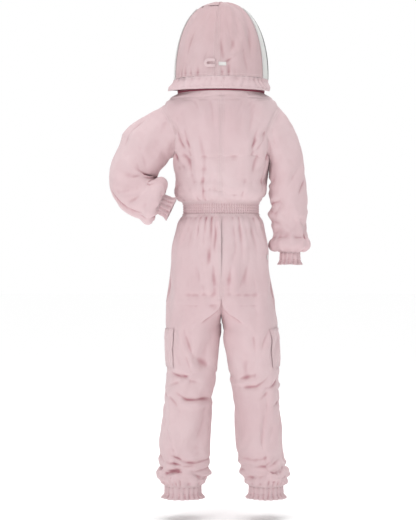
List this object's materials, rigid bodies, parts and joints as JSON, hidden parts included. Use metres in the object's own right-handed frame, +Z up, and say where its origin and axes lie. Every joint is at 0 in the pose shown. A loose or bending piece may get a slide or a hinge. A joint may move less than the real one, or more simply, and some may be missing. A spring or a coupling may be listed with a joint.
{
  "type": "beekeeping suit",
  "caption": "Hooded one-piece beekeeping suit in the shape it has when worn, with a mesh veil, zips, elastic waist and gathered cuffs.",
  "frame": {"origin": "on the shoulder line at the middle of the neck, where the suit is worn", "axes": "+Z up, the front faces -Y, the wearer's left is +X"},
  "size_m": [0.6893, 0.3318, 1.7058],
  "materials": {
    "pink_cotton": "matt cotton twill",
    "white_cotton": "matt cotton",
    "white_piping": "smooth woven piping",
    "veil_mesh": "stiff open black mesh",
    "zip_tape": "dense woven tape",
    "zip_coil": "nylon coil",
    "zip_metal": "nickel-plated zinc"
  },
  "bodies": {
    "torso": {"collar": "pink_cotton", "bodice_back_left": "pink_cotton", "bodice_back_right": "pink_cotton", "bodice_front_left": "pink_cotton", "bodice_front_right": "pink_cotton", "chest_pocket": "pink_cotton", "waistband": "pink_cotton", "seat_left": "pink_cotton", "seat_right": "pink_cotton", "neck_zip_collar_tape": "zip_tape", "neck_zip_coil": "zip_coil", "front_zip_tape_left": "zip_tape", "front_zip_tape_right": "zip_tape", "front_zip_coil": "zip_coil", "front_zip_stop": "zip_metal", "hip_tag": "white_cotton"},
    "hood": {"hood_panel_left": "pink_cotton", "hood_panel_right": "pink_cotton", "hood_side_left": "white_cotton", "hood_side_right": "white_cotton", "hood_crown": "pink_cotton", "hood_band": "pink_cotton", "veil_mesh": "veil_mesh", "veil_piping_left": "white_piping", "veil_piping_right": "white_piping", "hood_hang_loop": "pink_cotton", "hood_label": "white_cotton", "neck_zip_hood_tape": "zip_tape"},
    "neck_slider": {"neck_zip_slider": "zip_metal"},
    "neck_pull": {"neck_zip_pull": "zip_metal"},
    "front_slider": {"front_zip_slider": "zip_metal"},
    "front_pull": {"front_zip_pull": "zip_metal"},
    "throat_flap": {"throat_flap": "pink_cotton"},
    "pocket_flap": {"chest_pocket_flap": "pink_cotton"},
    "upper_arm_left": {"sleeve_head_left": "pink_cotton", "upper_sleeve_left": "pink_cotton"},
    "forearm_left": {"elbow_left": "pink_cotton", "forearm_left": "pink_cotton", "cuff_left": "pink_cotton"},
    "thigh_left": {"leg_top_left": "pink_cotton", "thigh_left": "pink_cotton", "thigh_pocket_left": "pink_cotton"},
    "shin_left": {"knee_left": "pink_cotton", "shin_left": "pink_cotton", "ankle_cuff_left": "pink_cotton"},
    "upper_arm_right": {"sleeve_head_right": "pink_cotton", "upper_sleeve_right": "pink_cotton"},
    "forearm_right": {"elbow_right": "pink_cotton", "forearm_right": "pink_cotton", "cuff_right": "pink_cotton"},
    "thigh_right": {"leg_top_right": "pink_cotton", "thigh_right": "pink_cotton", "thigh_pocket_right": "pink_cotton"},
    "shin_right": {"knee_right": "pink_cotton", "shin_right": "pink_cotton", "ankle_cuff_right": "pink_cotton"}
  },
  "joints": [
    {"name": "hood_tilt", "type": "hinge", "parent": "torso", "child": "hood", "pos_m": [0, 0.15, 0.043], "axis": [-1, 0, 0], "range_deg": [0, 92]},
    {"name": "neck_slider_travel", "type": "hinge", "parent": "torso", "child": "neck_slider", "pos_m": [0, 0, 0.04], "axis": [0, 0, 1], "range_deg": [0, 300]},
    {"name": "neck_pull_swing", "type": "hinge", "parent": "neck_slider", "child": "neck_pull", "pos_m": [0.06289, -0.13937, 0.04], "axis": [0, 0, -1], "range_deg": [0, 55]},
    {"name": "front_slider_travel", "type": "slide", "parent": "torso", "child": "front_slider", "axis": [0, 0, -1], "range_m": [0, 0.515]},
    {"name": "front_pull_swing", "type": "hinge", "parent": "front_slider", "child": "front_pull", "pos_m": [0, -0.1531, -0.0201], "axis": [-1, 0, 0], "range_deg": [0, 80]},
    {"name": "throat_flap_swing", "type": "hinge", "parent": "torso", "child": "throat_flap", "pos_m": [-0.03, -0.152, 0.011], "axis": [0, 0, -1], "range_deg": [0, 120]},
    {"name": "pocket_flap_lift", "type": "hinge", "parent": "torso", "child": "pocket_flap", "pos_m": [0.09196, -0.13295, -0.1271], "axis": [-0.9186, -0.3952, 0], "range_deg": [0, 100]},
    {"name": "shoulder_left_raise", "type": "hinge", "parent": "torso", "child": "upper_arm_left", "pos_m": [0.195, 0, -0.03], "axis": [0, -1, 0], "range_deg": [0, 35], "deforming": ["sleeve_head_left"]},
    {"name": "elbow_left_bend", "type": "hinge", "parent": "upper_arm_left", "child": "forearm_left", "pos_m": [0.30925, 0.03132, -0.26835], "axis": [0, -1, 0], "range_deg": [0, 40], "deforming": ["elbow_left"]},
    {"name": "hip_left_swing", "type": "hinge", "parent": "torso", "child": "thigh_left", "pos_m": [0.105, 0, -0.72], "axis": [-1, 0, 0], "range_deg": [-8, 28], "deforming": ["leg_top_left"]},
    {"name": "knee_left_bend", "type": "hinge", "parent": "thigh_left", "child": "shin_left", "pos_m": [0.11982, 0, -0.97121], "axis": [1, 0, 0], "range_deg": [0, 42], "deforming": ["knee_left"]},
    {"name": "shoulder_right_raise", "type": "hinge", "parent": "torso", "child": "upper_arm_right", "pos_m": [-0.195, 0, -0.03], "axis": [0, 1, 0], "range_deg": [0, 45], "deforming": ["sleeve_head_right"]},
    {"name": "elbow_right_bend", "type": "hinge", "parent": "upper_arm_right", "child": "forearm_right", "pos_m": [-0.23766, -0.01074, -0.32608], "axis": [-1, 0, 0], "range_deg": [0, 60], "deforming": ["elbow_right"]},
    {"name": "hip_right_swing", "type": "hinge", "parent": "torso", "child": "thigh_right", "pos_m": [-0.105, 0, -0.72], "axis": [-1, 0, 0], "range_deg": [-8, 28], "deforming": ["leg_top_right"]},
    {"name": "knee_right_bend", "type": "hinge", "parent": "thigh_right", "child": "shin_right", "pos_m": [-0.12868, 0, -0.97121], "axis": [1, 0, 0], "range_deg": [0, 42], "deforming": ["knee_right"]}
  ]
}
